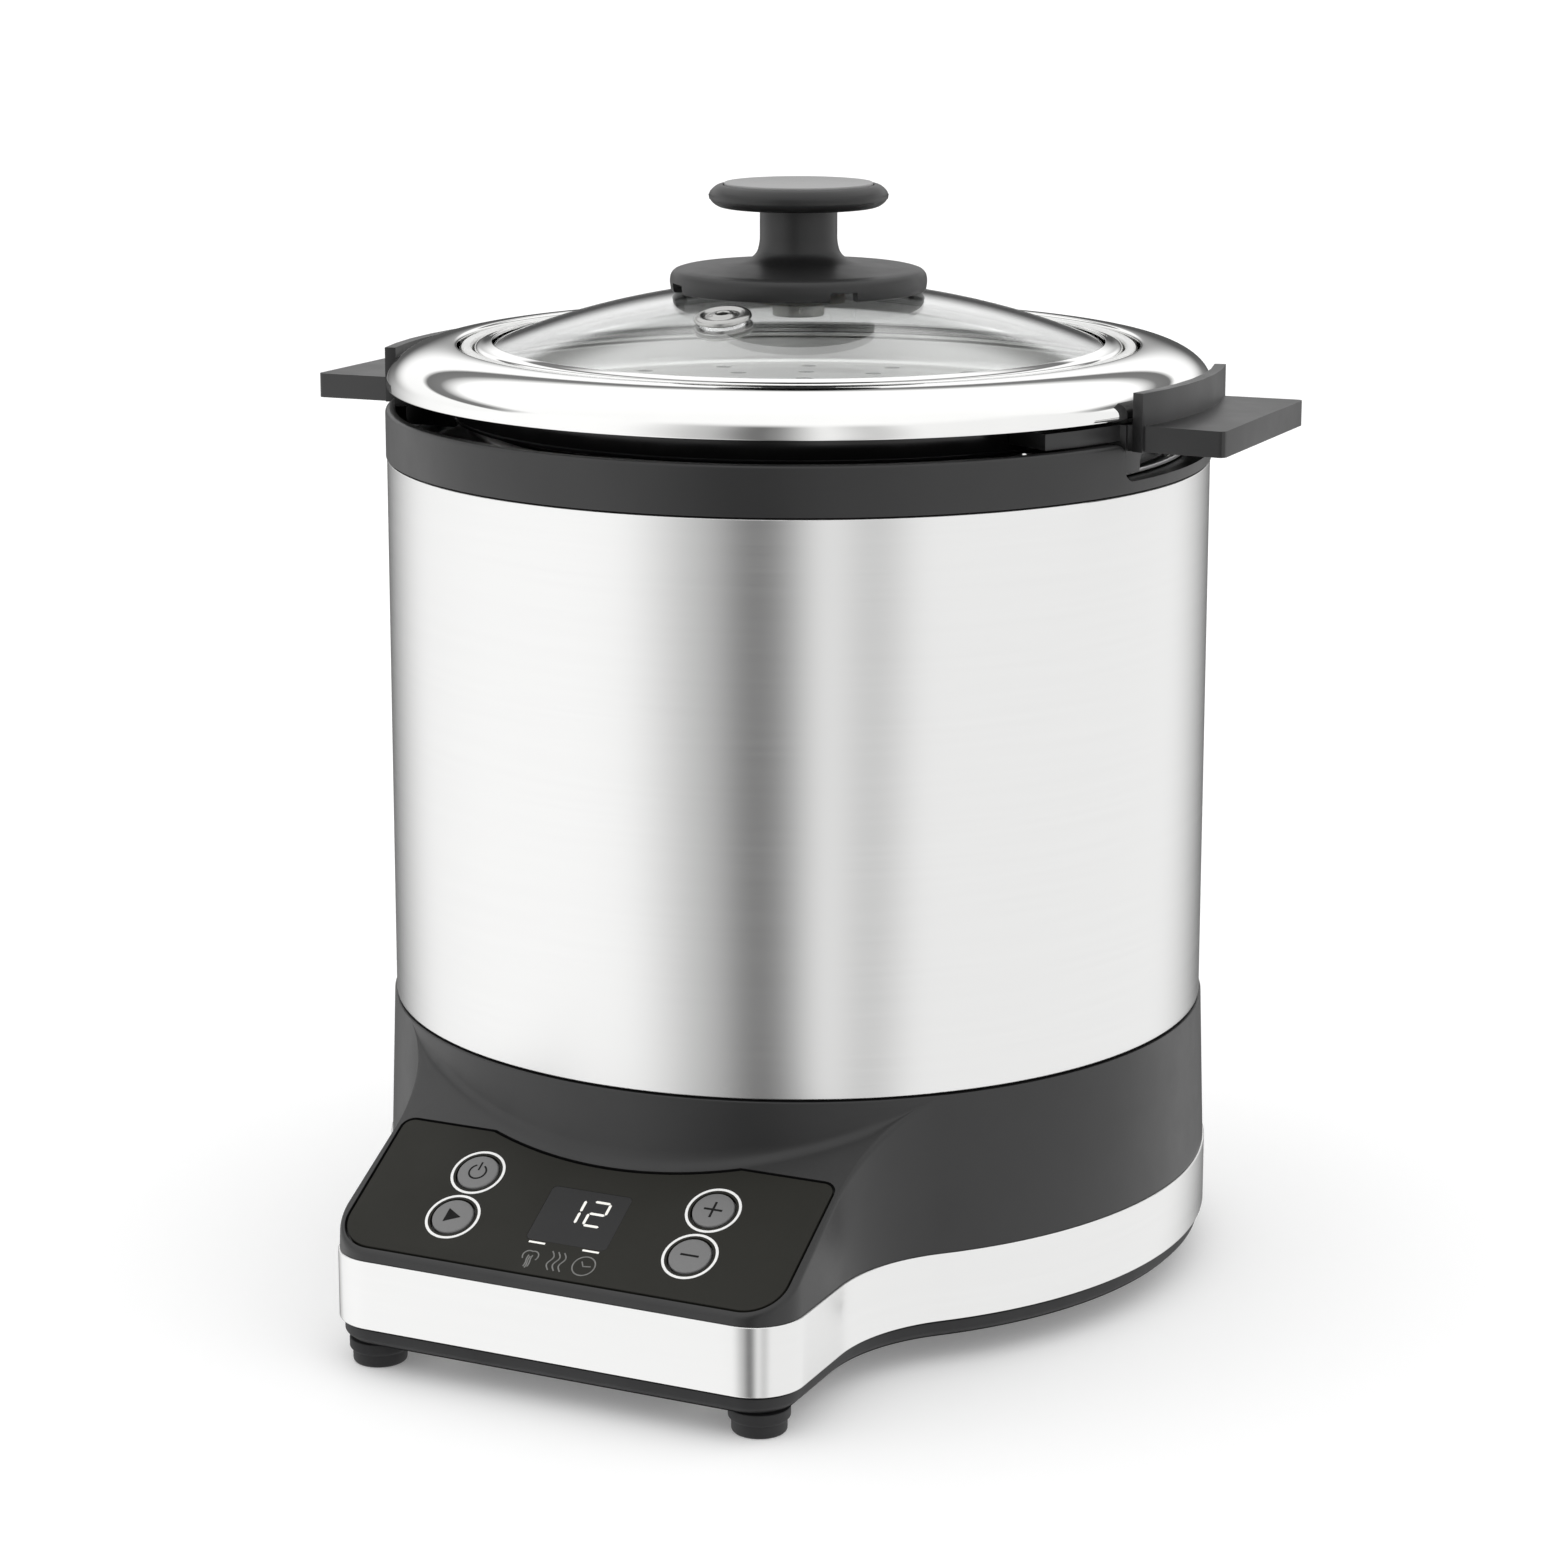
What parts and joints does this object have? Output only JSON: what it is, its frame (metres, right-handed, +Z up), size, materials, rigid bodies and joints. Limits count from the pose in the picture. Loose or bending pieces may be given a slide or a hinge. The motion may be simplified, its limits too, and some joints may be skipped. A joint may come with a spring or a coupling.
{
  "type": "multicooker",
  "caption": "Compact round rice and multi cooker with a brushed steel body, sloped control deck, lift-out pot, steamer insert and domed glass lid with a knob.",
  "frame": {"origin": "middle of the footprint, on the surface that the feet stand on; the round body's axis stands 12.05 mm behind it", "axes": "+Z up along the round body's axis, -Y towards the control deck, the two handles along +X and -X"},
  "size_m": [0.19, 0.1912, 0.2107],
  "materials": {
    "brushed_steel": "brushed round the body",
    "polished_steel": "mirror polished stainless steel",
    "black_plastic": "fine moulded texture",
    "fascia": "printed satin film",
    "button_grey": "satin",
    "display_smoke": "smoked window",
    "rubber_feet": "matt",
    "zinc_screws": "zinc plated steel",
    "circuit_board": "solder mask",
    "component_black": "moulded",
    "cast_aluminium": "cast and drawn",
    "collar_black": "glossy",
    "cap_grey": "satin",
    "clear_glass": "clear toughened glass",
    "silicone": "translucent white",
    "brass": "bright"
  },
  "bodies": {
    "base": {"base_housing": "black_plastic", "base_plate": "black_plastic", "base_screw_front_left": "zinc_screws", "base_screw_front_right": "zinc_screws", "base_screw_rear_left": "zinc_screws", "base_screw_rear_right": "zinc_screws", "control_board": "circuit_board", "display_lens": "display_smoke", "display_module": "component_black", "foot_front_left": "rubber_feet", "foot_front_right": "rubber_feet", "foot_rear_left": "rubber_feet", "foot_rear_right": "rubber_feet", "heater_lead_live": "silicone", "heater_lead_neutral": "silicone", "heater_plate": "cast_aluminium", "inlet_pin_live": "brass", "inlet_pin_neutral": "brass", "inner_liner": "cast_aluminium", "outer_shell": "brushed_steel", "panel_fascia": "fascia", "power_board": "circuit_board", "power_inlet": "black_plastic", "tact_switch_minus": "component_black", "tact_switch_plus": "component_black", "tact_switch_power": "component_black", "tact_switch_start": "component_black", "thermal_fuse": "brass", "thermostat_holder": "zinc_screws", "thermostat_spring": "zinc_screws", "top_ring": "black_plastic", "trim_band": "brushed_steel"},
    "button_power": {"button_power": "button_grey"},
    "button_start": {"button_start": "button_grey"},
    "button_plus": {"button_plus": "button_grey"},
    "button_minus": {"button_minus": "button_grey"},
    "thermostat": {"thermostat_plunger": "cast_aluminium"},
    "pot": {"inner_pot": "polished_steel", "pot_collar": "collar_black", "pot_handle_left": "black_plastic", "pot_handle_right": "black_plastic", "handle_screw_left": "zinc_screws", "handle_screw_right": "zinc_screws"},
    "steamer": {"steamer_insert": "polished_steel"},
    "lid": {"lid_glass": "clear_glass", "lid_rim": "polished_steel", "vent_grommet": "polished_steel", "knob_base": "black_plastic", "knob_grip": "black_plastic", "knob_cap": "cap_grey", "knob_gasket": "silicone", "lid_washer": "silicone", "knob_screw": "zinc_screws"}
  },
  "joints": [
    {"name": "press_power", "type": "slide", "parent": "base", "child": "button_power", "axis": [0, 0.4952, -0.8688], "range_m": [0, 0.0006], "stiffness_N_per_m": 800},
    {"name": "press_start", "type": "slide", "parent": "base", "child": "button_start", "axis": [0, 0.4952, -0.8688], "range_m": [0, 0.0006], "stiffness_N_per_m": 800},
    {"name": "press_plus", "type": "slide", "parent": "base", "child": "button_plus", "axis": [0, 0.4952, -0.8688], "range_m": [0, 0.0006], "stiffness_N_per_m": 800},
    {"name": "press_minus", "type": "slide", "parent": "base", "child": "button_minus", "axis": [0, 0.4952, -0.8688], "range_m": [0, 0.0006], "stiffness_N_per_m": 800},
    {"name": "thermostat_press", "type": "slide", "parent": "base", "child": "thermostat", "axis": [0, 0, -1], "range_m": [0, 0.003], "stiffness_N_per_m": 600, "deforming": ["thermostat_spring"]},
    {"name": "pot_lift", "type": "slide", "parent": "base", "child": "pot", "axis": [0, 0, 1], "range_m": [0, 0.13]},
    {"name": "steamer_lift", "type": "slide", "parent": "pot", "child": "steamer", "axis": [0, 0, 1], "range_m": [0, 0.03]},
    {"name": "lid_lift", "type": "slide", "parent": "steamer", "child": "lid", "axis": [0, 0, 1], "range_m": [0, 0.04]}
  ]
}
